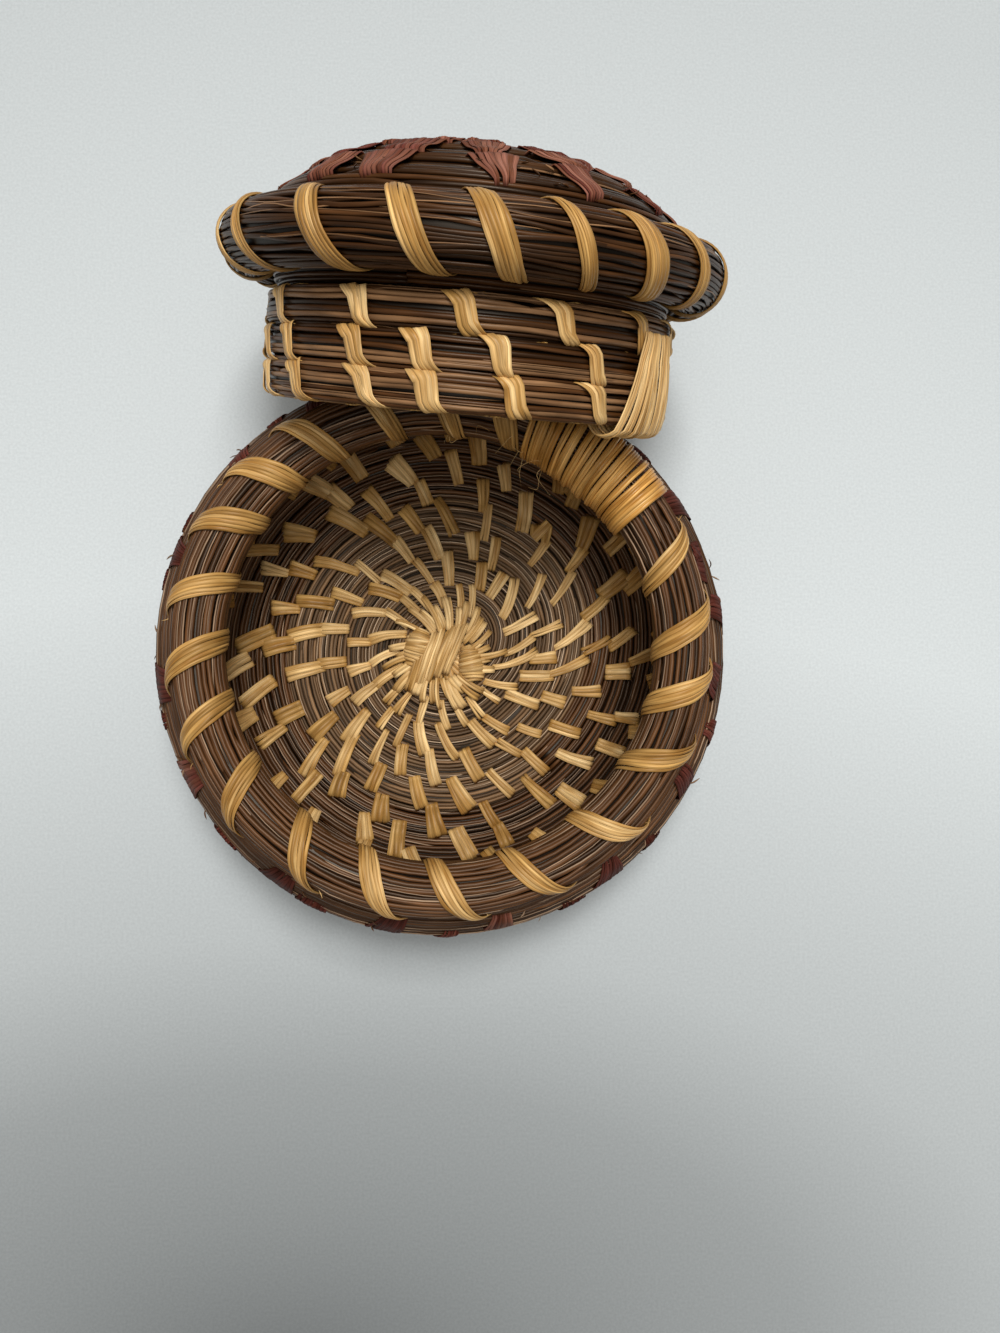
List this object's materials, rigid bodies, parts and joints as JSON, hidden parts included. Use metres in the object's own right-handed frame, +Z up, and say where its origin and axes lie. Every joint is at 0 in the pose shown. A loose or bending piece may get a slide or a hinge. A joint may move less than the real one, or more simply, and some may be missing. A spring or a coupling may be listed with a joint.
{
  "type": "coiled pine needle basket with lid",
  "caption": "Round lidded basket of coiled pine needles stitched with raffia, open, with its domed plug lid leaning behind it.",
  "frame": {"origin": "middle of the basket's base, on the surface it stands on", "axes": "+Z up out of the mouth, +Y towards the lid that leans behind the basket, +X to the right of the picture"},
  "size_m": [0.1201, 0.1572, 0.0929],
  "materials": {
    "needles_brown": "dried needles, satin",
    "needles_grey": "dried needles, dull",
    "needles_dark": "dried needles, polished",
    "raffia_tan": "flat fibrous ribbon, satin",
    "raffia_gold": "flat fibrous ribbon, satin",
    "raffia_red": "dyed fibrous ribbon, dull"
  },
  "bodies": {
    "basket": {"start_knot": "raffia_tan", "base_coil": "needles_grey", "wall_coil": "needles_brown", "rim_coil": "needles_brown", "rim_lacing": "raffia_gold", "rim_end_winding": "raffia_gold"},
    "lid": {"lid_start_knot": "raffia_red", "dome_coil": "needles_dark", "lid_rim_coil": "needles_dark", "lid_rim_lacing": "raffia_tan", "plug_coil": "needles_dark", "plug_lacing": "raffia_tan", "plug_end_winding": "raffia_tan"}
  },
  "joints": [
    {"name": "lid_lift", "type": "slide", "parent": "basket", "child": "lid", "axis": [0, 0.5, 0.866], "range_m": [0, 0.09]}
  ]
}
